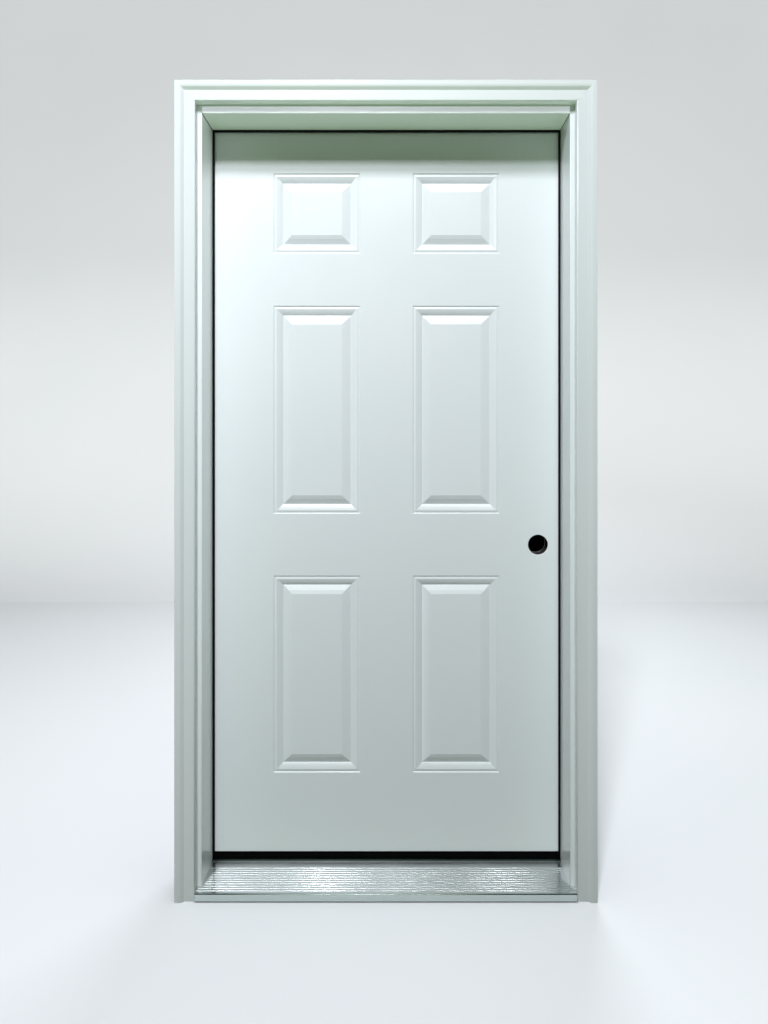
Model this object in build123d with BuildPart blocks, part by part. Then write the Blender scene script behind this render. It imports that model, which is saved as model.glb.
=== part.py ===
from build123d import *
import os

os.makedirs("parts", exist_ok=True)

# A six-panel fibreglass entry door hung in its frame, closed, with no handle or latch fitted.
# X runs across the doorway with the hinge side at -X, -Y faces outdoors, +Z is up.
# The origin is at the bottom centre of the whole unit. All lengths are in millimetres.

# Door slab
slab_width = 965.2
slab_height = 1973.3
slab_thickness = 44.45
skin_thickness = 2.0
stile_width = 32.0
top_rail_height = 32.0
bottom_rail_height = 44.0
lock_block_width = 95.0
lock_block_height = 300.0

# Panel layout on the slab
panel_side_margin = 174.9
mullion_width = 143.2
top_margin = 126.0
top_panel_height = 218.0
frieze_rail_height = 142.8
lock_rail_height = 169.2
bottom_margin = 214.8

# Panel moulding, from its outer edge inwards, with its depths below the slab's face
quirk_width = 2.4
quirk_depth = 2.0
bead_width = 6.6
bead_drop = 0.5
ovolo_width = 16.5
ovolo_bulge = 1.1
mould_depth = 8.8
lower_bevel_width = 14.5
lower_bevel_rise = 6.0
upper_bevel_width = 10.0

# Lock preparation
backset = 69.85
lock_height = 835.5
lock_bore_diameter = 54.0
latch_bore_diameter = 25.4
faceplate_width = 25.4
faceplate_height = 57.15
faceplate_depth = 3.0
faceplate_corner = 6.35
strike_width = 28.6
strike_height = 57.15
strike_depth = 2.4
strike_pocket_width = 20.0
strike_pocket_height = 27.0
strike_pocket_depth = 13.0

# Door frame
jamb_depth = 166.7
jamb_leg = 19.05
stop_height = 12.7
stop_edge_radius = 1.6
side_gap = 3.2
head_gap = 3.2
seal_gap = 4.0
kerf_width = 3.0
kerf_depth = 11.0

# Brickmould: an outer band, a narrow ogee and a flat inner face
brickmould_width = 50.8
brickmould_thickness = 31.75
band_width = 10.5
ogee_shoulder_width = 5.0
ogee_shoulder_drop = 1.1
ogee_width = 7.8
ogee_drop = 5.2
band_edge_radius = 1.2
face_edge_radius = 3.0
back_relief_start = 12.0
back_relief_width = 18.0
back_relief_depth = 1.6
side_reveal = 11.6
head_reveal = 21.8

# Sill: aluminium deck, substrate and vinyl cap
deck_thickness = 1.8
deck_foot_height = 4.0
nose_height = 23.0
nose_radius = 3.0
deck_slope_end = 138.0
deck_slope_top = 26.0
deck_lip_run = 8.0
deck_lip_top = 30.4
deck_length = 150.0
rib_count = 11
rib_pitch = 9.8
rib_base_width = 4.6
rib_crest_width = 2.0
rib_height = 1.2
first_rib = 14.0
cap_top = 41.0
cap_thickness = 13.0
cap_edge_radius = 1.5

# Weatherstrip and corner pads
seal_clearance = 0.3
seal_overhang = 5.8
seal_nose_depth = 2.4
seal_nose_radius = 2.6
corner_pad_thickness = 1.4
corner_pad_width = 25.0
corner_pad_height = 60.0

# Door sweep
sweep_space = 6.1
sweep_base = 2.0
sweep_inset = 2.0
sweep_fin_count = 4
sweep_fin_width = 1.4
sweep_clearance = 0.4
barb_count = 2
barb_height = 9.0
barb_width = 2.4
barb_spacing = 20.0
barb_clearance = 0.3

# Butt hinges
leaf_height = 101.6
leaf_reach = 38.1
leaf_thickness = 3.1
leaf_corner = 15.9
knuckle_radius = 7.0
knuckle_count = 5
knuckle_gap = 0.5
barrel_standoff = 0.5
pin_radius = 4.0
pin_clearance = 0.06
pin_head_radius = 6.2
pin_head_height = 3.5
pin_head_chamfer = 1.5
top_hinge_margin = 178.0
bottom_hinge_margin = 279.0

# Room left past a face by each cutting solid
overrun = 1.0

# Heights
slab_bottom = cap_top + sweep_space
slab_top = slab_bottom + slab_height
head_rabbet_z = slab_top + head_gap
head_stop_z = head_rabbet_z - stop_height
frame_top = head_rabbet_z + jamb_leg
brick_inner_z = head_stop_z + head_reveal
brick_outer_z = brick_inner_z + brickmould_width
lock_z = slab_bottom + lock_height
slab_mid_z = (slab_bottom + slab_top) / 2

# Half widths across the doorway
half_slab = slab_width / 2
rabbet_x = half_slab + side_gap
stop_x = rabbet_x - stop_height
frame_x = rabbet_x + jamb_leg
brick_inner_x = stop_x + side_reveal
brick_outer_x = brick_inner_x + brickmould_width
core_x = half_slab - stile_width
lock_x = half_slab - backset

# Depths, from outdoors to indoors, centred on the unit with its hinge barrels
rabbet_depth = slab_thickness + seal_gap
unit_depth = brickmould_thickness + jamb_depth + barrel_standoff + 2 * knuckle_radius
brick_face_y = -unit_depth / 2
jamb_front_y = brick_face_y + brickmould_thickness
jamb_back_y = jamb_front_y + jamb_depth
shoulder_y = jamb_back_y - rabbet_depth
slab_face_y = shoulder_y + seal_gap
slab_back_y = slab_face_y + slab_thickness
slab_mid_y = (slab_face_y + slab_back_y) / 2
pin_y = jamb_back_y + barrel_standoff + knuckle_radius
pin_x = -(half_slab + side_gap / 2)

# Panels, as centre and size, two columns by three rows
panel_width = half_slab - panel_side_margin - mullion_width / 2
panel_x = (mullion_width + panel_width) / 2
lock_rail_bottom = lock_z - lock_rail_height / 2
lock_rail_top = lock_z + lock_rail_height / 2
top_panel_top = slab_top - top_margin
top_panel_bottom = top_panel_top - top_panel_height
panel_spans = (
    (slab_bottom + bottom_margin, lock_rail_bottom),
    (lock_rail_top, top_panel_bottom - frieze_rail_height),
    (top_panel_bottom, top_panel_top),
)

# Hinge heights, as centres
hinge_heights = {
    "bottom": slab_bottom + bottom_hinge_margin + leaf_height / 2,
    "middle": slab_mid_z,
    "top": slab_top - top_hinge_margin - leaf_height / 2,
}


def moulding_section(plane, rounded):
    """Hollow of the panel moulding: quirk, bead, ovolo and two bevels up to the raised field.

    The hidden side of a skin has a plain slope in place of the rounded ovolo."""
    quirk_end = quirk_width + bead_width
    slope_start = quirk_end + ovolo_width
    slope_break = slope_start + lower_bevel_width
    field_edge = slope_break + upper_bevel_width
    with BuildSketch(plane) as section:
        with BuildLine():
            Polyline((0, -overrun), (0, 0), (quirk_width, quirk_depth), (quirk_end, bead_drop))
            if rounded:
                SagittaArc((quirk_end, bead_drop), (slope_start, mould_depth), -ovolo_bulge)
            else:
                Line((quirk_end, bead_drop), (slope_start, mould_depth))
            Polyline(
                (slope_start, mould_depth),
                (slope_break, mould_depth - lower_bevel_rise),
                (field_edge, 0),
                (field_edge, -overrun),
                (0, -overrun),
            )
        make_face()
    return section.sketch


def panel_hollow(span, inward, rounded):
    """Ring swept round one panel on the slab's face, sunk along Y in the direction given."""
    low, high = span
    half = panel_width / 2
    with BuildPart() as ring:
        with BuildLine(Plane.XZ) as path:
            Polyline((0, low), (-half, low), (-half, high), (half, high), (half, low), (0, low))
        start = Plane(origin=(0, 0, low), x_dir=(0, 0, 1), z_dir=(-inward, 0, 0))
        sweep(moulding_section(start, rounded), path=path.line, transition=Transition.RIGHT)
    return ring.part


def panel_hollows(face_y, inward, rounded):
    """The six hollows of one face of the slab, or of the skin's hidden side."""
    return [
        panel_hollow(span, inward, rounded).moved(Location((side * panel_x, face_y, 0)))
        for span in panel_spans
        for side in (-1, 1)
    ]


def slab_block(x_span, y_span, z_span):
    """Box between two values on each axis, for the plain members and pads."""
    with BuildSketch(Plane.XY.offset(z_span[0])) as plan:
        with Locations(((x_span[0] + x_span[1]) / 2, (y_span[0] + y_span[1]) / 2)):
            Rectangle(x_span[1] - x_span[0], y_span[1] - y_span[0])
    return extrude(plan.sketch, amount=z_span[1] - z_span[0], mode=Mode.PRIVATE)


def lock_bore():
    """Cross bore for the lock, right through the slab."""
    with BuildSketch(Plane.XZ.offset(-slab_back_y - overrun)) as circle:
        with Locations((lock_x, lock_z)):
            Circle(lock_bore_diameter / 2)
    return extrude(circle.sketch, amount=slab_thickness + 2 * overrun, mode=Mode.PRIVATE)


def latch_bore():
    """Bore from the lock edge into the cross bore."""
    with BuildSketch(Plane.YZ.offset(lock_x)) as circle:
        with Locations((slab_mid_y, lock_z)):
            Circle(latch_bore_diameter / 2)
    return extrude(circle.sketch, amount=backset + overrun, mode=Mode.PRIVATE)


def leaf_outline(x, z):
    """Outline of a hinge leaf as let into its mortise, with round inner corners."""
    with BuildSketch(Plane.YZ.offset(x)) as outline:
        with Locations((jamb_back_y - leaf_reach / 2, z)):
            Rectangle(leaf_reach, leaf_height)
        fillet(outline.vertices().group_by(Axis.X)[0], leaf_corner)
    return outline.sketch


def jamb_plan(side):
    """Plan section of a side jamb: leg, stop with eased edge, and the kerf for the seal."""
    with BuildSketch(Plane.XY) as plan:
        with BuildLine():
            Polyline(
                (side * frame_x, jamb_front_y),
                (side * frame_x, jamb_back_y),
                (side * rabbet_x, jamb_back_y),
                (side * rabbet_x, shoulder_y - kerf_depth),
                (side * (rabbet_x - kerf_width), shoulder_y - kerf_depth),
                (side * (rabbet_x - kerf_width), shoulder_y),
                (side * stop_x, shoulder_y),
                (side * stop_x, jamb_front_y),
                close=True,
            )
        make_face()
        corner = plan.vertices().sort_by_distance((side * stop_x, jamb_front_y))[0]
        fillet(corner, stop_edge_radius)
    return plan.sketch


def brickmould_section(plane):
    """Brickmould from its outer edge inwards, standing up from the frame's front edge.

    Its back is relieved in the middle, so that it seats on the wall and on the jamb."""
    relief_end = back_relief_start + back_relief_width
    shoulder = band_width + ogee_shoulder_width
    ogee_end = shoulder + ogee_width
    shoulder_top = brickmould_thickness - ogee_shoulder_drop
    face_top = shoulder_top - ogee_drop
    with BuildSketch(plane) as section:
        with BuildLine():
            Polyline(
                (0, 0),
                (0, brickmould_thickness),
                (band_width, brickmould_thickness),
                (shoulder, shoulder_top),
                (ogee_end, face_top),
                (brickmould_width, face_top),
                (brickmould_width, 0),
                (relief_end, 0),
                (relief_end, back_relief_depth),
                (back_relief_start, back_relief_depth),
                (back_relief_start, 0),
                close=True,
            )
        make_face()
        corners = section.vertices()
        fillet(corners.sort_by_distance((0, brickmould_thickness))[0], band_edge_radius)
        corners = section.vertices()
        fillet(corners.sort_by_distance((brickmould_width, face_top))[0], face_edge_radius)
    return section.sketch


def deck_height(y):
    """Height of the deck's plain slope at a distance behind the brickmould's face."""
    rise = (deck_slope_top - nose_height) / (deck_slope_end - nose_radius)
    return nose_height + (y - nose_radius) * rise


def rib_points():
    """Crests of the deck's ribs, outdoors to indoors."""
    points = []
    for i in range(rib_count):
        y = first_rib + i * rib_pitch
        for offset, rise in (
            (-rib_base_width / 2, 0),
            (-rib_crest_width / 2, rib_height),
            (rib_crest_width / 2, rib_height),
            (rib_base_width / 2, 0),
        ):
            points.append((y + offset, deck_height(y + offset) + rise))
    return points


def sill_plan():
    """Plan of the sill: horns between the brickmoulds, notches round the stops."""
    with BuildSketch(Plane.XY) as plan:
        for half_width, front, back in (
            (brick_inner_x, brick_face_y, jamb_front_y),
            (stop_x, jamb_front_y, shoulder_y),
            (rabbet_x, shoulder_y, jamb_back_y),
        ):
            with Locations((0, (front + back) / 2)):
                Rectangle(2 * half_width, back - front)
    return plan.sketch


# Section planes with their first axis along Y, from the brickmould's face, and up
sill_plane = Plane(origin=(0, brick_face_y, 0), x_dir=(0, 1, 0), z_dir=(1, 0, 0))

# Hollows of the panels, on both faces and on the skins' hidden sides
outer_hollows = panel_hollows(slab_face_y, 1, True)
outer_backs = panel_hollows(slab_face_y + skin_thickness, 1, False)
inner_hollows = panel_hollows(slab_back_y, -1, True)
inner_backs = panel_hollows(slab_back_y - skin_thickness, -1, False)

# Slab: the moulded skins
with BuildPart() as exterior_skin:
    add(
        slab_block(
            (-half_slab, half_slab),
            (slab_face_y, slab_face_y + skin_thickness),
            (slab_bottom, slab_top),
        )
    )
    add(outer_backs)
    add(outer_hollows, mode=Mode.SUBTRACT)
    add(lock_bore(), mode=Mode.SUBTRACT)
exterior_skin.part.label = "exterior_skin"
export_step(exterior_skin.part, "parts/exterior_skin.step")

with BuildPart() as interior_skin:
    add(
        slab_block(
            (-half_slab, half_slab),
            (slab_back_y - skin_thickness, slab_back_y),
            (slab_bottom, slab_top),
        )
    )
    add(inner_backs)
    add(inner_hollows, mode=Mode.SUBTRACT)
    add(lock_bore(), mode=Mode.SUBTRACT)
    for z in hinge_heights.values():
        extrude(leaf_outline(-half_slab, z), amount=leaf_thickness, mode=Mode.SUBTRACT)
interior_skin.part.label = "interior_skin"
export_step(interior_skin.part, "parts/interior_skin.step")

# Slab: stiles, rails, lock block and core between the skins
core_y_span = (slab_face_y + skin_thickness, slab_back_y - skin_thickness)
rail_bottom = slab_top - top_rail_height
rail_top = slab_bottom + bottom_rail_height

with BuildPart() as hinge_stile:
    add(slab_block((-half_slab, -core_x), core_y_span, (slab_bottom, slab_top)))
    for z in hinge_heights.values():
        extrude(leaf_outline(-half_slab, z), amount=leaf_thickness, mode=Mode.SUBTRACT)
hinge_stile.part.label = "hinge_stile"
export_step(hinge_stile.part, "parts/hinge_stile.step")

with BuildPart() as lock_stile:
    add(slab_block((core_x, half_slab), core_y_span, (slab_bottom, slab_top)))
    add(latch_bore(), mode=Mode.SUBTRACT)
    with BuildSketch(Plane.YZ.offset(half_slab - faceplate_depth)):
        with Locations((slab_mid_y, lock_z)):
            RectangleRounded(faceplate_width, faceplate_height, faceplate_corner)
    extrude(amount=faceplate_depth + overrun, mode=Mode.SUBTRACT)
lock_stile.part.label = "lock_stile"
export_step(lock_stile.part, "parts/lock_stile.step")

with BuildPart() as top_rail:
    add(slab_block((-core_x, core_x), core_y_span, (rail_bottom, slab_top)))
top_rail.part.label = "top_rail"
export_step(top_rail.part, "parts/top_rail.step")

barb_places = [
    slab_mid_y + (i - (barb_count - 1) / 2) * barb_spacing for i in range(barb_count)
]

with BuildPart() as bottom_rail:
    add(slab_block((-core_x, core_x), core_y_span, (slab_bottom, rail_top)))
    with BuildSketch(Plane.YZ.offset(-core_x)):
        for y in barb_places:
            with Locations((y, slab_bottom + barb_height / 2)):
                Rectangle(barb_width + 2 * barb_clearance, barb_height + 2 * barb_clearance)
    extrude(amount=2 * core_x, mode=Mode.SUBTRACT)
bottom_rail.part.label = "bottom_rail"
export_step(bottom_rail.part, "parts/bottom_rail.step")

block_x_span = (core_x - lock_block_width, core_x)
block_z_span = (lock_z - lock_block_height / 2, lock_z + lock_block_height / 2)

with BuildPart() as lock_block:
    add(slab_block(block_x_span, core_y_span, block_z_span))
    add(lock_bore(), mode=Mode.SUBTRACT)
    add(latch_bore(), mode=Mode.SUBTRACT)
lock_block.part.label = "lock_block"
export_step(lock_block.part, "parts/lock_block.step")

with BuildPart() as foam_core:
    add(slab_block((-core_x, core_x), core_y_span, (rail_top, rail_bottom)))
    add(slab_block(block_x_span, core_y_span, block_z_span), mode=Mode.SUBTRACT)
    add(outer_backs, mode=Mode.SUBTRACT)
    add(inner_backs, mode=Mode.SUBTRACT)
foam_core.part.label = "foam_core"
export_step(foam_core.part, "parts/foam_core.step")

# Slab: vinyl sweep, its barbs pressed into the bottom rail
sweep_y_span = (slab_face_y + sweep_inset, slab_back_y - sweep_inset)
fin_bottom = cap_top + sweep_clearance
fin_pitch = (sweep_y_span[1] - sweep_y_span[0] - sweep_fin_width) / (sweep_fin_count - 1)
sweep_x = half_slab - sweep_inset

with BuildPart() as door_sweep:
    add(
        slab_block(
            (-sweep_x, sweep_x), sweep_y_span, (slab_bottom - sweep_base, slab_bottom)
        )
    )
    with BuildSketch(Plane.YZ.offset(-sweep_x)):
        for i in range(sweep_fin_count):
            y = sweep_y_span[0] + sweep_fin_width / 2 + i * fin_pitch
            with Locations((y, (fin_bottom + slab_bottom) / 2)):
                Rectangle(sweep_fin_width, slab_bottom - fin_bottom)
    extrude(amount=2 * sweep_x)
    with BuildSketch(Plane.YZ.offset(barb_clearance - core_x)):
        for y in barb_places:
            with Locations((y, slab_bottom + barb_height / 2)):
                Rectangle(barb_width, barb_height)
    extrude(amount=2 * (core_x - barb_clearance))
door_sweep.part.label = "door_sweep"
export_step(door_sweep.part, "parts/door_sweep.step")

# Frame: jambs
with BuildPart() as hinge_jamb:
    extrude(jamb_plan(-1), amount=frame_top)
    for z in hinge_heights.values():
        extrude(leaf_outline(-rabbet_x, z), amount=-leaf_thickness, mode=Mode.SUBTRACT)
hinge_jamb.part.label = "hinge_jamb"
export_step(hinge_jamb.part, "parts/hinge_jamb.step")

with BuildPart() as strike_jamb:
    extrude(jamb_plan(1), amount=frame_top)
    with BuildSketch(Plane.YZ.offset(rabbet_x)):
        with Locations((slab_mid_y, lock_z)):
            RectangleRounded(strike_width, strike_height, faceplate_corner)
    extrude(amount=strike_depth, mode=Mode.SUBTRACT)
    with BuildSketch(Plane.YZ.offset(rabbet_x)):
        with Locations((slab_mid_y, lock_z)):
            Rectangle(strike_pocket_width, strike_pocket_height)
    extrude(amount=strike_pocket_depth, mode=Mode.SUBTRACT)
strike_jamb.part.label = "strike_jamb"
export_step(strike_jamb.part, "parts/strike_jamb.step")

with BuildPart() as head_jamb:
    with BuildSketch(Plane.YZ) as stop_section:
        with BuildLine():
            Polyline(
                (jamb_front_y, frame_top),
                (shoulder_y, frame_top),
                (shoulder_y, head_stop_z),
                (jamb_front_y, head_stop_z),
                close=True,
            )
        make_face()
        corner = stop_section.vertices().sort_by_distance((jamb_front_y, head_stop_z))[0]
        fillet(corner, stop_edge_radius)
    extrude(amount=stop_x, both=True)
    with BuildSketch(Plane.YZ):
        with Locations(((shoulder_y + jamb_back_y) / 2, (head_rabbet_z + frame_top) / 2)):
            Rectangle(rabbet_depth, jamb_leg)
    extrude(amount=rabbet_x, both=True)
    with BuildSketch(Plane.YZ):
        with Locations((shoulder_y - kerf_depth / 2, head_rabbet_z - kerf_width / 2)):
            Rectangle(kerf_depth, kerf_width)
    extrude(amount=stop_x, both=True, mode=Mode.SUBTRACT)
head_jamb.part.label = "head_jamb"
export_step(head_jamb.part, "parts/head_jamb.step")

# Frame: brickmould, mitred at the head
for name, side in (("brickmould_left", -1), ("brickmould_right", 1)):
    foot = Plane(
        origin=(side * brick_outer_x, jamb_front_y, 0), x_dir=(-side, 0, 0), z_dir=(0, 0, side)
    )
    mitre = Plane(origin=(side * brick_outer_x, 0, brick_outer_z), z_dir=(side, 0, -1))
    with BuildPart() as brickmould_side:
        extrude(brickmould_section(foot), amount=side * brick_outer_z)
        split(bisect_by=mitre, keep=Keep.TOP)
    brickmould_side.part.label = name
    export_step(brickmould_side.part, f"parts/{name}.step")

with BuildPart() as brickmould_head:
    head_end = Plane(
        origin=(0, jamb_front_y, brick_outer_z), x_dir=(0, 0, -1), z_dir=(-1, 0, 0)
    )
    extrude(brickmould_section(head_end), amount=brick_outer_x, both=True)
    for side in (-1, 1):
        mitre = Plane(origin=(side * brick_outer_x, 0, brick_outer_z), z_dir=(side, 0, -1))
        split(bisect_by=mitre, keep=Keep.BOTTOM)
brickmould_head.part.label = "brickmould_head"
export_step(brickmould_head.part, "parts/brickmould_head.step")

# Sill: substrate, ribbed deck and cap
cap_bottom = cap_top - cap_thickness
cap_front = deck_length
sill_depth = brickmould_thickness + jamb_depth

with BuildPart() as sill_substrate:
    with BuildSketch(sill_plane):
        with BuildLine():
            Polyline(
                (deck_thickness + deck_foot_height, 0),
                (deck_thickness, deck_foot_height),
                (deck_thickness, nose_height - nose_radius),
                (nose_radius, nose_height - deck_thickness),
                (deck_slope_end, deck_slope_top - deck_thickness),
                (deck_slope_end + deck_lip_run, deck_lip_top - deck_thickness),
                (cap_front, deck_lip_top - deck_thickness),
                (cap_front, cap_bottom),
                (sill_depth, cap_bottom),
                (sill_depth, 0),
                close=True,
            )
        make_face()
    extrude(amount=brick_outer_x, both=True)
    extrude(sill_plan(), amount=cap_top, mode=Mode.INTERSECT)
sill_substrate.part.label = "sill_substrate"
export_step(sill_substrate.part, "parts/sill_substrate.step")

with BuildPart() as sill_deck:
    with BuildSketch(sill_plane):
        with BuildLine():
            nose_side = (0, nose_height - nose_radius)
            nose_top = (nose_radius, nose_height)
            inner_side = (deck_thickness, nose_height - nose_radius)
            inner_top = (nose_radius, nose_height - deck_thickness)
            Line((0, deck_foot_height), nose_side)
            RadiusArc(nose_side, nose_top, nose_radius)
            Polyline(
                nose_top,
                *rib_points(),
                (deck_slope_end, deck_slope_top),
                (deck_slope_end + deck_lip_run, deck_lip_top),
                (cap_front, deck_lip_top),
                (cap_front, deck_lip_top - deck_thickness),
                (deck_slope_end + deck_lip_run, deck_lip_top - deck_thickness),
                (deck_slope_end, deck_slope_top - deck_thickness),
                inner_top,
            )
            RadiusArc(inner_top, inner_side, deck_thickness - nose_radius)
            Polyline(inner_side, (deck_thickness, deck_foot_height), (0, deck_foot_height))
        make_face()
    extrude(amount=brick_outer_x, both=True)
    extrude(sill_plan(), amount=cap_top, mode=Mode.INTERSECT)
sill_deck.part.label = "sill_deck"
export_step(sill_deck.part, "parts/sill_deck.step")

with BuildPart() as sill_cap:
    with BuildSketch(sill_plane) as cap_section:
        with Locations(((cap_front + sill_depth) / 2, cap_top - cap_thickness / 2)):
            Rectangle(sill_depth - cap_front, cap_thickness)
        fillet(cap_section.vertices().group_by(Axis.Y)[-1], cap_edge_radius)
    extrude(amount=brick_outer_x, both=True)
    extrude(sill_plan(), amount=cap_top, mode=Mode.INTERSECT)
sill_cap.part.label = "sill_cap"
export_step(sill_cap.part, "parts/sill_cap.step")

def seal_section(plane):
    """Weatherstrip: a leg in the kerf, a pad on the stop's shoulder, a round nose past the stop.

    The first axis runs from the rabbet's face to the doorway, the second one indoors."""
    nose = stop_height + seal_overhang
    pad = seal_gap - seal_clearance
    with BuildSketch(plane) as section:
        with BuildLine():
            Polyline(
                (seal_clearance, 0),
                (seal_clearance, pad),
                (nose, pad),
                (nose, -seal_nose_depth),
                (stop_height + seal_clearance, -seal_nose_depth),
                (stop_height + seal_clearance, 0),
                (kerf_width - seal_clearance, 0),
                (kerf_width - seal_clearance, -kerf_depth + seal_clearance),
                (seal_clearance, -kerf_depth + seal_clearance),
                close=True,
            )
        make_face()
        corners = section.vertices().sort_by_distance((nose, pad))[0]
        fillet(corners, seal_nose_radius)
        corners = section.vertices().sort_by_distance((nose, -seal_nose_depth))[0]
        fillet(corners, seal_nose_radius)
    return section.sketch


# Frame: weatherstrip
seal_foot = cap_top + seal_clearance
side_seal_height = head_rabbet_z - seal_clearance - seal_foot
head_seal_bottom = head_stop_z - seal_overhang

for name, side in (("weatherstrip_hinge", -1), ("weatherstrip_strike", 1)):
    foot = Plane(
        origin=(side * rabbet_x, shoulder_y, seal_foot), x_dir=(-side, 0, 0), z_dir=(0, 0, -side)
    )
    with BuildPart() as side_seal:
        extrude(seal_section(foot), amount=-side * side_seal_height)
        with BuildSketch(Plane.XY.offset(head_seal_bottom - seal_clearance)):
            with Locations((0, shoulder_y)):
                Rectangle(2 * (stop_x + seal_clearance), 2 * rabbet_depth)
        extrude(amount=frame_top - head_seal_bottom, mode=Mode.SUBTRACT)
    side_seal.part.label = name
    export_step(side_seal.part, f"parts/{name}.step")

with BuildPart() as weatherstrip_head:
    seal_run = stop_x - seal_clearance
    head_seal_end = Plane(
        origin=(0, shoulder_y, head_rabbet_z), x_dir=(0, 0, -1), z_dir=(1, 0, 0)
    )
    extrude(seal_section(head_seal_end), amount=seal_run, both=True)
weatherstrip_head.part.label = "weatherstrip_head"
export_step(weatherstrip_head.part, "parts/weatherstrip_head.step")

# Frame: foam pads at the foot of each rabbet
for name, side in (("corner_pad_hinge", -1), ("corner_pad_strike", 1)):
    near = side * (rabbet_x - corner_pad_thickness)
    far = side * rabbet_x
    with BuildPart() as corner_pad:
        add(
            slab_block(
                (min(near, far), max(near, far)),
                (slab_face_y, slab_face_y + corner_pad_width),
                (cap_top, cap_top + corner_pad_height),
            )
        )
    corner_pad.part.label = name
    export_step(corner_pad.part, f"parts/{name}.step")

# Butt hinges: leaves with alternating knuckles, and loose pins
knuckle_height = (leaf_height - (knuckle_count - 1) * knuckle_gap) / knuckle_count


def knuckles(z, parity, tab_x_span):
    """Knuckles of one leaf: every second one, each with the strap that joins it to the leaf."""
    with BuildPart() as barrel:
        for i in range(parity, knuckle_count, 2):
            low = z - leaf_height / 2 + i * (knuckle_height + knuckle_gap)
            with BuildSketch(Plane.XY.offset(low)):
                with Locations((pin_x, pin_y)):
                    Circle(knuckle_radius)
                with Locations((sum(tab_x_span) / 2, (jamb_back_y + pin_y) / 2)):
                    Rectangle(tab_x_span[1] - tab_x_span[0], pin_y - jamb_back_y)
                with Locations((pin_x, pin_y)):
                    Circle(pin_radius + pin_clearance, mode=Mode.SUBTRACT)
            extrude(amount=knuckle_height)
    return barrel.part


for name, z in hinge_heights.items():
    with BuildPart() as door_leaf:
        extrude(leaf_outline(-half_slab, z), amount=leaf_thickness)
        add(knuckles(z, 1, (-half_slab, -half_slab + leaf_thickness)))
    door_leaf.part.label = f"{name}_hinge_door_leaf"
    export_step(door_leaf.part, f"parts/{name}_hinge_door_leaf.step")

    with BuildPart() as jamb_leaf:
        extrude(leaf_outline(-rabbet_x, z), amount=-leaf_thickness)
        add(knuckles(z, 0, (-rabbet_x - leaf_thickness, -rabbet_x)))
    jamb_leaf.part.label = f"{name}_hinge_jamb_leaf"
    export_step(jamb_leaf.part, f"parts/{name}_hinge_jamb_leaf.step")

    with BuildPart() as pin:
        barrel_top = z + leaf_height / 2
        with BuildSketch(Plane.XY.offset(z - leaf_height / 2)):
            with Locations((pin_x, pin_y)):
                Circle(pin_radius)
        extrude(amount=leaf_height)
        with BuildSketch(Plane.XY.offset(barrel_top)):
            with Locations((pin_x, pin_y)):
                Circle(pin_head_radius)
        extrude(amount=pin_head_height)
        chamfer(pin.edges().group_by(Axis.Z)[-1], pin_head_chamfer)
    pin.part.label = f"{name}_hinge_pin"
    export_step(pin.part, f"parts/{name}_hinge_pin.step")
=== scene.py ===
import math
import random
import bmesh
import bpy
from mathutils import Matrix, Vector
from mathutils.geometry import tessellate_polygon


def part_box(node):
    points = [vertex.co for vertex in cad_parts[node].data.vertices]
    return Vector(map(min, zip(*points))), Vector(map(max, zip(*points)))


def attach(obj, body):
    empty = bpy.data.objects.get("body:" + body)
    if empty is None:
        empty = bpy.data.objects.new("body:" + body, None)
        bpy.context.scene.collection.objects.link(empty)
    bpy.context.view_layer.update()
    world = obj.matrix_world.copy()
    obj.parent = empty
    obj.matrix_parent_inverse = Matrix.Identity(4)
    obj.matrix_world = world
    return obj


# A six-panel fibreglass entry door in its painted frame, over a ribbed aluminium sill.
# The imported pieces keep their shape. Each gets its finish here, its edges are eased, and the
# small fasteners and fillings are added. Lengths are in metres, mm is one millimetre.
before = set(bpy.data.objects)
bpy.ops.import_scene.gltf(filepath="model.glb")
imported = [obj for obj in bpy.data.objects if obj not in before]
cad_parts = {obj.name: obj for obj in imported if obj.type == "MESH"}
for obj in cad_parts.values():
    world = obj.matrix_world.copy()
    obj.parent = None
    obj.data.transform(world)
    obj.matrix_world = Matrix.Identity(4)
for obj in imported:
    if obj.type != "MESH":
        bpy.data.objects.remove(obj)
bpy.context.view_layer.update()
mm = 0.001

# Gap beside the slab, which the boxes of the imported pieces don't give
side_gap = 3.2 * mm

door_low, door_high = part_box("exterior_skin")
inner_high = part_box("interior_skin")[1]
jamb_low, jamb_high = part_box("hinge_jamb")
strike_low, strike_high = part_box("strike_jamb")
head_low, head_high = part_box("head_jamb")
cap_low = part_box("sill_cap")[0]
moulding_low, moulding_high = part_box("brickmould_left")
moulding_top_low, moulding_top_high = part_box("brickmould_head")


def linear(hex_colour):
    """Linear RGBA of an sRGB hex colour such as #E8EEF0."""
    shares = [int(hex_colour[i : i + 2], 16) / 255 for i in (1, 3, 5)]
    return [s / 12.92 if s <= 0.04045 else ((s + 0.055) / 1.055) ** 2.4 for s in shares] + [1.0]


def per_metre(size_in_mm):
    """Scale of a pattern whose grains or lines are this far apart."""
    return 1000 / size_in_mm


def add(tree, kind, values=None, links=None, **settings):
    """Adds a node with its settings, its sockets' values and its links, and returns it."""
    made = tree.nodes.new(kind)
    for name, value in settings.items():
        setattr(made, name, value)
    for socket, value in (values or {}).items():
        made.inputs[socket].default_value = value
    for socket, output in (links or {}).items():
        tree.links.new(output, made.inputs[socket])
    return made


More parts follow.
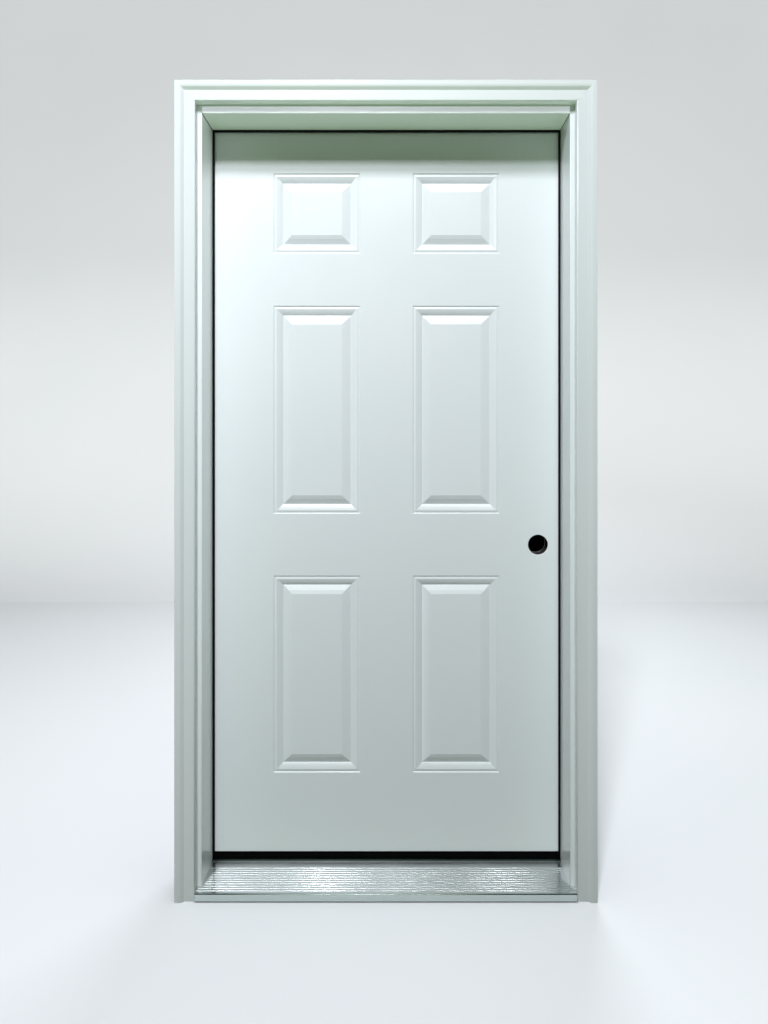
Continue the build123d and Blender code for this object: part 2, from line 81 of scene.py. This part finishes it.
def new_finish(name, colour, roughness, metallic=0.0, **sockets):
    """Material with the values that are the same all over, and its place in the part's frame."""
    material = bpy.data.materials.new(name)
    material.use_nodes = True
    material.diffuse_color = linear(colour)
    tree = material.node_tree
    shader = tree.nodes["Principled BSDF"]
    shader.inputs["Base Color"].default_value = linear(colour)
    shader.inputs["Roughness"].default_value = roughness
    shader.inputs["Metallic"].default_value = metallic
    for socket, value in sockets.items():
        shader.inputs[socket.replace("_", " ")].default_value = value
    place = add(tree, "ShaderNodeTexCoord").outputs["Object"]
    return material, tree, shader, place


def grain(tree, place, sizes, detail=2.0, roughness=0.5):
    """Noise with a grain of these sizes in mm along X, Y and Z, from 0 to 1."""
    stretch = [per_metre(size) for size in sizes]
    scaled = add(
        tree, "ShaderNodeVectorMath", {1: stretch}, {0: place}, operation="MULTIPLY"
    ).outputs[0]
    values = {"Scale": 1.0, "Detail": detail, "Roughness": roughness}
    return add(tree, "ShaderNodeTexNoise", values, {"Vector": scaled}).outputs["Fac"]


def between(tree, factor, low, high, start=0.3, end=0.7):
    """A number that runs from low to high as the factor runs from start to end."""
    values = {"From Min": start, "From Max": end, "To Min": low, "To Max": high}
    return add(tree, "ShaderNodeMapRange", values, {"Value": factor}).outputs["Result"]


def blend_colours(tree, factor, first, second):
    """Two colours mixed by the factor. A colour is a hex string or another node's output."""
    values, links = {}, {0: factor}
    for socket, colour in ((6, first), (7, second)):
        if isinstance(colour, str):
            values[socket] = linear(colour)
        else:
            links[socket] = colour
    return add(tree, "ShaderNodeMix", values, links, data_type="RGBA").outputs[2]


def relief(tree, height, depth_in_mm, below=None):
    """Normal of a surface whose height varies by that many millimetres."""
    links = {"Height": height}
    if below is not None:
        links["Normal"] = below
    values = {"Strength": 1.0, "Distance": depth_in_mm * mm}
    return add(tree, "ShaderNodeBump", values, links).outputs["Normal"]


def feed(tree, shader, **outputs):
    """Links outputs to the shader's sockets."""
    for socket, output in outputs.items():
        tree.links.new(output, shader.inputs[socket.replace("_", " ")])


def fibreglass_moulded():
    """Compression-moulded fibreglass with a factory coat: nearly smooth, satin, with a soft
    sheen that the faint orange peel of the coat breaks up."""
    material, tree, shader, place = new_finish("fibreglass_moulded", "#ECF0F1", 0.4, IOR=1.5)
    peel = grain(tree, place, (3.2, 3.2, 3.2), detail=1.5)
    swell = grain(tree, place, (160, 160, 160), detail=1.0)
    shade = grain(tree, place, (420, 420, 420), detail=2.0)
    colour = blend_colours(tree, shade, "#E9EEF0", "#EEF1F2")
    normal = relief(tree, swell, 0.12)
    normal = relief(tree, peel, 0.012, normal)
    rough = between(tree, grain(tree, place, (70, 70, 70)), 0.36, 0.46)
    feed(tree, shader, Base_Color=colour, Roughness=rough, Normal=normal)
    return material


def timber_painted(name, along):
    """Semi-gloss paint brushed along a timber member: fine brush lines that stretch the
    highlight across them, and a gloss that mirrors what is seen at a low angle."""
    material, tree, shader, place = new_finish(name, "#E8ECED", 0.2, IOR=1.5)
    line_size = [5.0, 5.0, 5.0]
    line_size[along] = 260
    lines = grain(tree, place, line_size, detail=3.0, roughness=0.6)
    peel = grain(tree, place, (2.6, 2.6, 2.6), detail=1.0)
    shade = grain(tree, place, (260, 260, 260), detail=3.0)
    colour = blend_colours(tree, shade, "#E5EAEA", "#EBEFEF")
    normal = relief(tree, lines, 0.003)
    normal = relief(tree, peel, 0.003, normal)
    rough = between(tree, lines, 0.17, 0.22)
    feed(tree, shader, Base_Color=colour, Roughness=rough, Normal=normal)
    return material


def aluminium_extruded():
    """Mill-finish extruded aluminium: die lines run across the doorway and smear what it
    mirrors into streaks at right angles to them, with duller handling marks in patches. The
    nose is coloured greyer, and the lip against the black cap is darkened by painted shade
    and a painted dark reflection."""
    material, tree, shader, place = new_finish(
        "aluminium_extruded", "#E2E6E8", 0.18, metallic=1.0, Anisotropic=0.9
    )
    die_lines = grain(tree, place, (900, 2.4, 2.4), detail=1.0)
    marks = grain(tree, place, (46, 30, 30), detail=4.0, roughness=0.62)
    cloud = grain(tree, place, (150, 60, 60), detail=2.0)
    colour = blend_colours(tree, marks, "#DADFE1", "#EAEDEF")
    # The nose is coloured a greyer tone
    nose_grey_start = moulding_low.y + 2 * mm
    nose_grey_end = moulding_low.y + 7 * mm
    # Painted shade and painted reflection: the lip under the black cap fades to near black
    painted_shade_start = cap_low.y - 17 * mm
    painted_shade_end = cap_low.y - 7 * mm
    depth = add(tree, "ShaderNodeSeparateXYZ", links={"Vector": place}).outputs["Y"]
    past_grey_nose = between(tree, depth, 0.0, 1.0, nose_grey_start, nose_grey_end)
    colour = blend_colours(tree, past_grey_nose, "#C3CDCB", colour)
    painted_shade_mask = between(tree, depth, 0.0, 1.0, painted_shade_start, painted_shade_end)
    colour = blend_colours(tree, painted_shade_mask, colour, "#38433D")
    rough = between(tree, cloud, 0.2, 0.27)
    across = add(tree, "ShaderNodeCombineXYZ", {"Y": 1.0}).outputs["Vector"]
    normal = relief(tree, die_lines, 0.002)
    feed(tree, shader, Base_Color=colour, Roughness=rough, Normal=normal, Tangent=across)
    return material


def vinyl_extruded_black():
    """Black vinyl drawn through a die: even satin with faint lines along its run."""
    material, tree, shader, place = new_finish(
        "vinyl_extruded_black", "#020203", 0.7, IOR=1.4, Specular_IOR_Level=0.1
    )
    lines = grain(tree, place, (400, 1.6, 1.6), detail=2.0)
    dust = grain(tree, place, (28, 28, 28), detail=4.0, roughness=0.7)
    colour = blend_colours(tree, between(tree, dust, 0.0, 1.0, 0.45, 0.8), "#020203", "#060608")
    rough = between(tree, dust, 0.65, 0.8)
    normal = relief(tree, lines, 0.015)
    feed(tree, shader, Base_Color=colour, Roughness=rough, Normal=normal)
    return material


def foam_seal_skinned():
    """Foam weatherstrip in a welded vinyl skin: near black, dull, softly wrinkled."""
    material, tree, shader, place = new_finish(
        "foam_seal_skinned", "#050507", 0.6, IOR=1.4, Specular_IOR_Level=0.15
    )
    wrinkles = grain(tree, place, (5, 5, 14), detail=2.0)
    colour = blend_colours(tree, wrinkles, "#040406", "#0B0C0E")
    rough = between(tree, wrinkles, 0.5, 0.68)
    normal = relief(tree, wrinkles, 0.05)
    feed(tree, shader, Base_Color=colour, Roughness=rough, Normal=normal)
    return material


def joint_shadow_paint():
    """Near-black bead that paints the shadow line of a joint: matt, a little uneven along its run."""
    material, tree, shader, place = new_finish(
        "joint_shadow_paint", "#0A0B0A", 0.7, IOR=1.4, Specular_IOR_Level=0.2
    )
    lumps = grain(tree, place, (2, 14, 2), detail=2.0)
    colour = blend_colours(tree, lumps, "#070807", "#111311")
    feed(tree, shader, Base_Color=colour, Normal=relief(tree, lumps, 0.08))
    return material


def pine_planed():
    """Planed pine stiles and rails: pale bands of early wood between darker late wood lines,
    with the plane's faint ripple."""
    material, tree, shader, place = new_finish("pine_planed", "#C7A579", 0.58, IOR=1.45)
    rings = grain(tree, place, (9, 4.5, 420), detail=2.0, roughness=0.45)
    pores = grain(tree, place, (0.9, 0.9, 30), detail=2.0)
    bands = between(tree, rings, 0.0, 1.0, 0.42, 0.6)
    colour = blend_colours(tree, bands, "#D8BC92", "#A67C4E")
    colour = blend_colours(tree, between(tree, pores, 0.0, 0.35), colour, "#8A6238")
    rough = between(tree, bands, 0.62, 0.5)
    normal = relief(tree, pores, 0.05)
    feed(tree, shader, Base_Color=colour, Roughness=rough, Normal=normal)
    return material


def wood_composite_with_painted_shade():
    """Dark resin-bonded wood flour, near black brown, which also paints shade into the lock bore's
    wall: dull, flecked by its fibres.
    """
    material, tree, shader, place = new_finish(
        "wood_composite_with_painted_shade", "#14100C", 0.9, IOR=1.4, Specular_IOR_Level=0.1
    )
    fibres = grain(tree, place, (1.2, 1.2, 6), detail=3.0)
    colour = blend_colours(tree, fibres, "#100C09", "#1C1711")
    feed(tree, shader, Base_Color=colour, Normal=relief(tree, fibres, 0.04))
    return material


def urethane_foam_blown():
    """Blown polyurethane core: pale yellow, matt, with closed cells about 1 mm across."""
    material, tree, shader, place = new_finish("urethane_foam_blown", "#D9C98E", 0.85, IOR=1.45)
    cells = add(
        tree, "ShaderNodeTexVoronoi", {"Scale": per_metre(1.0)}, {"Vector": place}
    ).outputs["Distance"]
    colour = blend_colours(tree, cells, "#C9B777", "#E4D7A2")
    feed(tree, shader, Base_Color=colour, Normal=relief(tree, cells, 0.2))
    return material


def composite_moulded():
    """Moulded composite sill stock: grey-brown, dull, speckled with its filler."""
    material, tree, shader, place = new_finish("composite_moulded", "#8B8478", 0.7, IOR=1.5)
    filler = grain(tree, place, (2.2, 2.2, 2.2), detail=3.0)
    tone = grain(tree, place, (90, 30, 30), detail=2.0)
    colour = blend_colours(tree, tone, "#857D70", "#968F83")
    colour = blend_colours(tree, between(tree, filler, 0.0, 0.5, 0.5, 0.7), colour, "#6B645A")
    feed(tree, shader, Base_Color=colour, Normal=relief(tree, filler, 0.08))
    return material


def steel_plated_satin():
    """Stamped steel with satin nickel plating: bright metal, brushed lightly along its height,
    duller where hands and rollers have touched it."""
    material, tree, shader, place = new_finish(
        "steel_plated_satin", "#BDB9B1", 0.3, metallic=1.0, Anisotropic=0.3
    )
    brushing = grain(tree, place, (0.6, 0.6, 24), detail=2.0)
    wear = grain(tree, place, (18, 18, 18), detail=3.0)
    colour = blend_colours(tree, wear, "#B4B0A8", "#C8C5BE")
    rough = between(tree, wear, 0.24, 0.4)
    feed(tree, shader, Base_Color=colour, Roughness=rough, Normal=relief(tree, brushing, 0.008))
    return material


def steel_zinc_passivated():
    """Zinc-plated screws: grey metal with the faint yellow and blue cast of the passivation."""
    material, tree, shader, place = new_finish(
        "steel_zinc_passivated", "#B8B6AC", 0.34, metallic=1.0
    )
    cast = grain(tree, place, (6, 6, 6), detail=2.0)
    colour = blend_colours(tree, cast, "#BDB89F", "#AAB2B8")
    rough = between(tree, grain(tree, place, (2, 2, 2)), 0.28, 0.46)
    feed(tree, shader, Base_Color=colour, Roughness=rough)
    return material


def matt_paper(name, darker, paler):
    """Matt studio paper, dyed in the sheet, with a fine tooth and barely any change of tone."""
    material, tree, shader, place = new_finish(name, darker, 0.9)
    tooth = grain(tree, place, (5, 5, 5), detail=2.0)
    tone = grain(tree, place, (1400, 1400, 1400), detail=2.0)
    colour = blend_colours(tree, tone, darker, paler)
    feed(tree, shader, Base_Color=colour, Normal=relief(tree, tooth, 0.05))
    return material


def velvet_painted_shade():
    """Cut velvet, used as painted shade: its pile swallows nearly all light, with faint strokes in the
    nap.
    """
    material, tree, shader, place = new_finish(
        "velvet_painted_shade", "#010101", 1.0, Specular_IOR_Level=0.0
    )
    nap = grain(tree, place, (30, 30, 30), detail=2.0)
    feed(tree, shader, Base_Color=blend_colours(tree, nap, "#010101", "#030303"))
    return material


moulded_skin = fibreglass_moulded()
painted_upright = timber_painted("timber_painted_upright", 2)
painted_head = timber_painted("timber_painted_head", 0)
aluminium = aluminium_extruded()
black_vinyl = vinyl_extruded_black()
seal_foam = foam_seal_skinned()
pine = pine_planed()
block_dark_and_shade = wood_composite_with_painted_shade()
joint_shadow_finish = joint_shadow_paint()
core_foam = urethane_foam_blown()
composite = composite_moulded()
hinge_steel = steel_plated_satin()
zinc_steel = steel_zinc_passivated()

# Finish and eased edge, in mm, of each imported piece
hinge_nodes = [
    f"{place}_hinge_{part}"
    for place in ("bottom", "middle", "top")
    for part in ("jamb_leaf", "door_leaf", "pin")
]
finishes = {
    ("exterior_skin", "interior_skin"): (moulded_skin, 0.8),
    ("hinge_jamb", "strike_jamb"): (painted_upright, 0.6),
    ("brickmould_left", "brickmould_right"): (painted_upright, 0.3),
    ("head_jamb",): (painted_head, 0.6),
    ("brickmould_head",): (painted_head, 0.3),
    ("sill_deck",): (aluminium, 0.25),
    ("sill_cap", "door_sweep"): (black_vinyl, 0.3),
    ("weatherstrip_hinge", "weatherstrip_strike", "weatherstrip_head"): (seal_foam, 0.0),
    ("corner_pad_hinge", "corner_pad_strike"): (seal_foam, 0.4),
    ("hinge_stile", "lock_stile", "top_rail", "bottom_rail"): (pine, 0.0),
    # The lock block's near-black colour also paints shade in the lock bore
    ("lock_block",): (block_dark_and_shade, 0.0),
    ("foam_core",): (core_foam, 0.0),
    ("sill_substrate",): (composite, 0.5),
    tuple(hinge_nodes): (hinge_steel, 0.3),
}


def ease_edges(piece, width):
    """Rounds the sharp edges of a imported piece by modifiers, which leave its mesh as it is."""
    weld = piece.modifiers.new("weld", "WELD")
    weld.merge_threshold = 0.01 * mm
    flat = piece.modifiers.new("join_flat_faces", "DECIMATE")
    flat.decimate_type = "DISSOLVE"
    flat.angle_limit = math.radians(0.5)
    bevel = piece.modifiers.new("eased_edges", "BEVEL")
    bevel.width = width
    bevel.segments = 2
    bevel.limit_method = "ANGLE"
    bevel.angle_limit = math.radians(24)
    bevel.harden_normals = True


for names, (finish, edge) in finishes.items():
    for name in names:
        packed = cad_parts[name]
        packed.data.materials.clear()
        packed.data.materials.append(finish)
        if edge:
            ease_edges(packed, edge * mm)


def make_piece(name, mesh, finish, body):
    """Turns a bmesh into a piece with its finish that rides on a body."""
    bmesh.ops.recalc_face_normals(mesh, faces=mesh.faces)
    data = bpy.data.meshes.new(name)
    mesh.to_mesh(data)
    mesh.free()
    data.materials.append(finish)
    piece = bpy.data.objects.new(name, data)
    bpy.context.scene.collection.objects.link(piece)
    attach(piece, body)
    return piece


# Screw heads: flat, countersunk, with a cross recess
head_sides = 32
head_seat = 0.25 * mm
head_rim = 0.12 * mm
head_crown = 0.3 * mm
crown_share = 0.9
recess_length = 0.55
recess_width = 0.16
recess_depth = 1.6 * mm
recess_floor_share = 0.45


def cross_outline(length, width):
    """Twelve corners of a cross recess."""
    corners = []
    for i in range(4):
        turn = i * math.pi / 2
        for x, y in ((length, -width), (length, width), (width, width)):
            corners.append(
                (x * math.cos(turn) - y * math.sin(turn), x * math.sin(turn) + y * math.cos(turn))
            )
    return corners


def add_screw_head(mesh, centre, outward, radius, turn):
    """Adds one head at centre, facing outward, its recess turned by an angle."""
    outward = Vector(outward)
    first = outward.orthogonal().normalized()
    second = outward.cross(first)

    def ring(points, height):
        made = []
        for x, y in points:
            across = x * math.cos(turn) - y * math.sin(turn)
            up = x * math.sin(turn) + y * math.cos(turn)
            made.append(
                mesh.verts.new(centre + across * first + up * second + height * outward)
            )
        return made

    def wall(lower, upper):
        count = len(lower)
        for i in range(count):
            j = (i + 1) % count
            mesh.faces.new((lower[i], lower[j], upper[j], upper[i]))

    def circle(size):
        step = 2 * math.pi / head_sides
        return [(size * math.cos(i * step), size * math.sin(i * step)) for i in range(head_sides)]

    crown = circle(radius * crown_share)
    cross = cross_outline(radius * recess_length, radius * recess_width)
    floor = [(x * recess_floor_share, y * recess_floor_share) for x, y in cross]
    seat_ring = ring(circle(radius), -head_seat)
    rim_ring = ring(circle(radius), head_rim)
    crown_ring = ring(crown, head_crown)
    cross_ring = ring(cross, head_crown)
    floor_ring = ring(floor, head_crown - recess_depth)
    wall(seat_ring, rim_ring)
    wall(rim_ring, crown_ring)
    wall(floor_ring, cross_ring)
    corners = crown_ring + cross_ring
    outlines = [[Vector((x, y, 0)) for x, y in points] for points in (crown, cross)]
    for triangle in tessellate_polygon(outlines):
        mesh.faces.new([corners[i] for i in triangle])
    mesh.faces.new(floor_ring)
    mesh.faces.new(seat_ring)


def screws(name, centres, outward, radius, finish, body):
    """A set of screw heads as one piece, each driven to its own angle."""
    turns = random.Random(name)
    mesh = bmesh.new()
    for centre in centres:
        add_screw_head(mesh, Vector(centre), outward, radius, turns.uniform(0, math.pi / 2))
    return make_piece(name, mesh, finish, body)


# Hinge screws: four to a leaf, staggered in two columns
hinge_screw_radius = 4.3 * mm
near_column = 12 * mm
far_column = 25 * mm
hinge_screw_rows = ((-38 * mm, near_column), (-13 * mm, far_column),
                    (13 * mm, far_column), (38 * mm, near_column))
back_y = jamb_high.y
rabbet_x = door_low.x - side_gap
for level in ("bottom", "middle", "top"):
    leaf_low, leaf_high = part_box(f"{level}_hinge_jamb_leaf")
    middle = (leaf_low.z + leaf_high.z) / 2
    for part, face_x, outward, body in (
        ("jamb", rabbet_x, (1, 0, 0), "frame"),
        ("door", door_low.x, (-1, 0, 0), "door"),
    ):
        spots = [(face_x, back_y - inset, middle + row) for row, inset in hinge_screw_rows]
        screws(
            f"{level}_hinge_{part}_screws", spots, outward,
            hinge_screw_radius, hinge_steel, body,
        )

# Screws through the jambs into the head and the sill
frame_screw_radius = 4.0 * mm
frame_screw_inset = 42 * mm
head_screw_z = (head_high.z + door_high.z + side_gap) / 2
sill_screw_z = 14 * mm
for side, face_x, jamb_name in ((-1, jamb_low.x, "hinge"), (1, strike_high.x, "strike")):
    spots = [
        (face_x, y, z)
        for z in (head_screw_z, sill_screw_z)
        for y in (jamb_low.y + frame_screw_inset, (jamb_low.y + back_y) / 2, back_y - frame_screw_inset)
    ]
    screws(
        f"{jamb_name}_jamb_screws", spots, (side, 0, 0),
        frame_screw_radius, zinc_steel, "frame",
    )

# Filled nail holes in the brickmould
filler_radius = 2.1 * mm
filler_height = 0.22 * mm
filler_sides = 18
filler_rings = 3
nail_spacing = 395 * mm
nail_end = 110 * mm
nail_inset = 24 * mm
filler_raggedness = 0.12
filler_sink = 0.02 * mm
moulding_step = 6.3 * mm
moulding_face_y = moulding_low.y + moulding_step


def add_filler(mesh, centre, noise):
    """A low dome of filler, sanded a little uneven, on a face towards -Y."""
    top = mesh.verts.new(centre + Vector((0, -filler_height, 0)))
    rings = []
    edge = [
        1 + noise.uniform(-filler_raggedness, filler_raggedness) for _ in range(filler_sides)
    ]
    for k in range(1, filler_rings + 1):
        share = k / filler_rings
        height = filler_height * (1 - share * share) - filler_sink
        step = 2 * math.pi / filler_sides
        rings.append([
            mesh.verts.new(centre + Vector((
                filler_radius * share * edge[i] * math.cos(i * step),
                -height,
                filler_radius * share * edge[i] * math.sin(i * step),
            )))
            for i in range(filler_sides)
        ])
    for i in range(filler_sides):
        j = (i + 1) % filler_sides
        mesh.faces.new((top, rings[0][i], rings[0][j]))
        for inner, outer in zip(rings, rings[1:]):
            mesh.faces.new((inner[i], outer[i], outer[j], inner[j]))


def fillers(name, centres, finish):
    """The filled nail holes of one length of brickmould, as one piece."""
    noise = random.Random(name)
    mesh = bmesh.new()
    for centre in centres:
        add_filler(mesh, Vector(centre), noise)
    piece = make_piece(name, mesh, finish, "frame")
    for face in piece.data.polygons:
        face.use_smooth = True
    return piece


nail_count = int((moulding_high.z - 2 * nail_end) // nail_spacing) + 1
for side_name, outer_x, side in (
    ("left", moulding_top_low.x, 1),
    ("right", moulding_top_high.x, -1),
):
    spots = [
        (outer_x + side * nail_inset, moulding_face_y, nail_end + i * nail_spacing)
        for i in range(nail_count)
    ]
    fillers(f"nail_fillings_{side_name}", spots, painted_upright)
head_nails = [
    (x, moulding_face_y, moulding_top_high.z - nail_inset)
    for x in (moulding_top_low.x + nail_end, 0.0, moulding_top_high.x - nail_end)
]
fillers("nail_fillings_head", head_nails, painted_head)

# Painted shadow lines: near-black beads in the joints between the stops and the head
bead_leg = 1.2 * mm
for name, stop_face, inward in (
    ("painted_shadow_joint_left", jamb_high.x, 1),
    ("painted_shadow_joint_right", strike_low.x, -1),
):
    mesh = bmesh.new()
    ends = [
        [
            mesh.verts.new((x, y, z))
            for x, z in (
                (stop_face, head_low.z),
                (stop_face + inward * bead_leg, head_low.z),
                (stop_face, head_low.z - bead_leg),
            )
        ]
        for y in (jamb_low.y, cap_low.y)
    ]
    mesh.faces.new(ends[0])
    mesh.faces.new(ends[1])
    for i in range(3):
        mesh.faces.new((ends[0][i - 1], ends[0][i], ends[1][i], ends[1][i - 1]))
    make_piece(name, mesh, joint_shadow_finish, "frame")

# Floor, and a paper backdrop that curves up behind, clear of every rear view
floor_front = -20.0
backdrop_foot = 3.2
backdrop_curve = 3.0
backdrop_top = 9.0
backdrop_half_width = 9.0
curve_steps = 16


def stage_sheet(name, mesh, finish):
    """Turns a bmesh into a sheet beside the part, which throws no soft light back on it."""
    data = bpy.data.meshes.new(name)
    mesh.to_mesh(data)
    mesh.free()
    for face in data.polygons:
        face.use_smooth = True
    data.materials.append(finish)
    sheet = bpy.data.objects.new(name, data)
    bpy.context.scene.collection.objects.link(sheet)
    sheet.visible_diffuse = False
    return sheet


def paper(name, profile, half_width, finish):
    """A sheet of paper along X whose side view is a list of (y, z) points."""
    mesh = bmesh.new()
    rows = [
        [mesh.verts.new((x, y, z)) for x in (-half_width, half_width)] for y, z in profile
    ]
    for lower, upper in zip(rows, rows[1:]):
        mesh.faces.new((lower[0], lower[1], upper[1], upper[0]))
    return stage_sheet(name, mesh, finish)


curve = [
    (
        backdrop_foot + backdrop_curve * math.sin(i * math.pi / 2 / curve_steps),
        backdrop_curve * (1 - math.cos(i * math.pi / 2 / curve_steps)),
    )
    for i in range(curve_steps + 1)
]
floor = paper(
    "floor",
    [(floor_front, 0), (backdrop_foot, 0)],
    2 * backdrop_half_width,
    matt_paper("floor_paper", "#CFD3D4", "#D6D8D9"),
)
backdrop = paper(
    "backdrop",
    curve + [(curve[-1][0], backdrop_top)],
    backdrop_half_width,
    matt_paper("backdrop_paper", "#CFD3D4", "#D6D8D9"),
)

# Where the photo was taken from, and the middle of the lock bore
camera_x = 23.2 * mm
camera_distance = 1996 * mm
camera_height = 1222.5 * mm
lock_bore_x = 412.75 * mm
lock_bore_z = 882.6 * mm
camera_place = Vector((camera_x, moulding_low.y - camera_distance, camera_height))
bore_middle = Vector((lock_bore_x, (door_low.y + inner_high.y) / 2, lock_bore_z))

# Painted shade: a small black card low in front of the backdrop, in line with the lock bore, so that
# the bore looks dark
card_y = 4.1
card_radius = 0.1
card_corners = 48
sight = bore_middle - camera_place
card_middle = camera_place + sight * (card_y - camera_place.y) / sight.y
mesh = bmesh.new()
rim = []
for i in range(card_corners):
    turn = 2 * math.pi * i / card_corners
    x = card_middle.x + card_radius * math.cos(turn)
    z = card_middle.z + card_radius * math.sin(turn)
    rim.append(mesh.verts.new((x, card_y, z)))
mesh.faces.new(rim)
stage_sheet("bore_shade_card", mesh, velvet_painted_shade())

# Camera, level and square to the door, a little right of its middle
photo_width = 768
photo_height = 1024
axis_px = 395
horizon_px = 420
focal_px = 788.9
sensor = 36.0
lens = bpy.data.cameras.new("photo_camera")
lens.sensor_width = sensor
lens.lens = sensor * focal_px / photo_height
lens.shift_x = (photo_width / 2 - axis_px) / photo_height
lens.shift_y = (horizon_px - photo_height / 2) / photo_height
camera = bpy.data.objects.new("photo_camera", lens)
camera.location = camera_place
camera.rotation_euler = (math.pi / 2, 0, 0)
bpy.context.scene.collection.objects.link(camera)
bpy.context.scene.camera = camera


def area_light(name, place, target, size, watts, colour, spread=180):
    """A square soft box at place, aimed at target, whose beam opens this many degrees."""
    data = bpy.data.lights.new(name, "AREA")
    data.size = size
    data.energy = watts
    data.color = linear(colour)[:3]
    light = bpy.data.objects.new(name, data)
    light.location = place
    light.rotation_euler = (Vector(target) - Vector(place)).to_track_quat("-Z", "Y").to_euler()
    light.visible_camera = False
    data.spread = math.radians(spread)
    bpy.context.scene.collection.objects.link(light)
    return light


def limit_light(light, pieces, state):
    """Lets a light reach only these pieces, or everything but them."""
    receivers = bpy.data.collections.new(f"{light.name}_receivers")
    for piece in pieces:
        receivers.objects.link(piece)
    for link in receivers.collection_objects:
        link.light_linking.link_state = state
    light.light_linking.receiver_collection = receivers


sheet_light_angle = 70


def sheet_light(name, aim, strength, sheet):
    """Wide even light along a direction, on one sheet of paper only."""
    data = bpy.data.lights.new(name, "SUN")
    data.energy = strength
    data.angle = math.radians(sheet_light_angle)
    light = bpy.data.objects.new(name, data)
    light.rotation_euler = Vector(aim).to_track_quat("-Z", "Y").to_euler()
    bpy.context.scene.collection.objects.link(light)
    limit_light(light, [sheet], "INCLUDE")


# Light: two key boxes high in front, aimed at the upper left so that they fade downwards,
# a broad soft panel for the room, a weak fill behind and even light on the paper.
key_x = -0.5
key_y = -3.3
key_size = 0.45
key_spread = 94
key_aim = (-0.38, 0, 1.66)
room_green = "#D8FFC0"
door_middle = (0, 0, 1.2)
keys = [
    area_light(name, (key_x, key_y, height), key_aim, key_size, watts, "#F4F7FF", key_spread)
    for name, height, watts in (("key_low", 4.37, 26.5), ("key_high", 5.14, 46))
]
room = area_light("room", (-1.0, -5.5, 2.2), door_middle, 6.5, 45, room_green)
area_light("rear_fill", (0.8, 3.0, 3.4), (0, 0, 1.0), 1.6, 90, "#F4FAFF")
head_fill = area_light("head_fill", (-0.3, -3.0, 2.55), (0, 0, 2.0), 0.4, 42, "#F2ECFF")
soffit_fill = area_light("soffit_fill", (0, -0.55, 0.15), (0, -0.05, 2.0), 0.5, 9, room_green)
hinge_side_fill = area_light(
    "hinge_side_fill", (1.3, -1.2, 2.2), (-0.47, 0, 1.5), 0.8, 12, "#F4FFF2"
)
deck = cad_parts["sill_deck"]
head_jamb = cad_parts["head_jamb"]
brickmould_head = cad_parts["brickmould_head"]
for light in keys:
    limit_light(light, [deck], "EXCLUDE")
limit_light(room, [floor], "EXCLUDE")
limit_light(head_fill, [head_jamb], "INCLUDE")
limit_light(soffit_fill, [head_jamb, brickmould_head], "INCLUDE")
limit_light(hinge_side_fill, [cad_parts["hinge_jamb"]], "INCLUDE")
sheet_light("backdrop_wash", (0, 1, -0.6), 3.4, backdrop)
sheet_light("floor_wash", (0, 0.2, -1), 1.8, floor)

# Small lamps in a row, seen only as streaks on the ribbed deck
lamp_places = (-1.23, -0.93, -0.53, -0.24, 0.13, 0.44, 0.8, 1.01)
lamp_watts = (5.0, 2.0, 9.0, 2.5, 3.2, 2.0, 6.0, 2.0)
lamp_y = -2.6
lamp_height = 3.6
lamp_size = 0.07
deck_middle = (0, moulding_low.y, 0)
deck_panel = area_light("deck_panel", (-1.2, -2.8, 3.0), deck_middle, 2.4, 22, "#F2FAFF")
limit_light(deck_panel, [deck], "INCLUDE")
for i, (x, watts) in enumerate(zip(lamp_places, lamp_watts)):
    spot = (x, lamp_y, lamp_height)
    lamp = area_light(f"lamp_{i}", spot, deck_middle, lamp_size, watts, "#FFFFFF")
    limit_light(lamp, [deck], "INCLUDE")

room_strength = 0.01
seen_strength = 1.0
world = bpy.data.worlds.new("studio")
world.use_nodes = True
world_tree = world.node_tree
world_tree.nodes.clear()
room_light = add(
    world_tree, "ShaderNodeBackground", {"Color": linear("#CDF2DC"), "Strength": room_strength}
)
direction = add(world_tree, "ShaderNodeTexCoord").outputs["Generated"]
height = add(world_tree, "ShaderNodeSeparateXYZ", links={"Vector": direction}).outputs["Z"]
rise = between(world_tree, height, 0.0, 1.0, -0.05, 0.35)
seen_colour = add(
    world_tree,
    "ShaderNodeBackground",
    {"Strength": seen_strength},
    {"Color": blend_colours(world_tree, rise, "#C4C9CB", "#DDE1E2")},
)
seen = add(world_tree, "ShaderNodeLightPath").outputs["Is Camera Ray"]
mixed = add(
    world_tree,
    "ShaderNodeMixShader",
    links={0: seen, 1: room_light.outputs[0], 2: seen_colour.outputs[0]},
)
add(world_tree, "ShaderNodeOutputWorld", links={"Surface": mixed.outputs[0]})
bpy.context.scene.world = world
bpy.context.scene.view_settings.view_transform = "Standard"
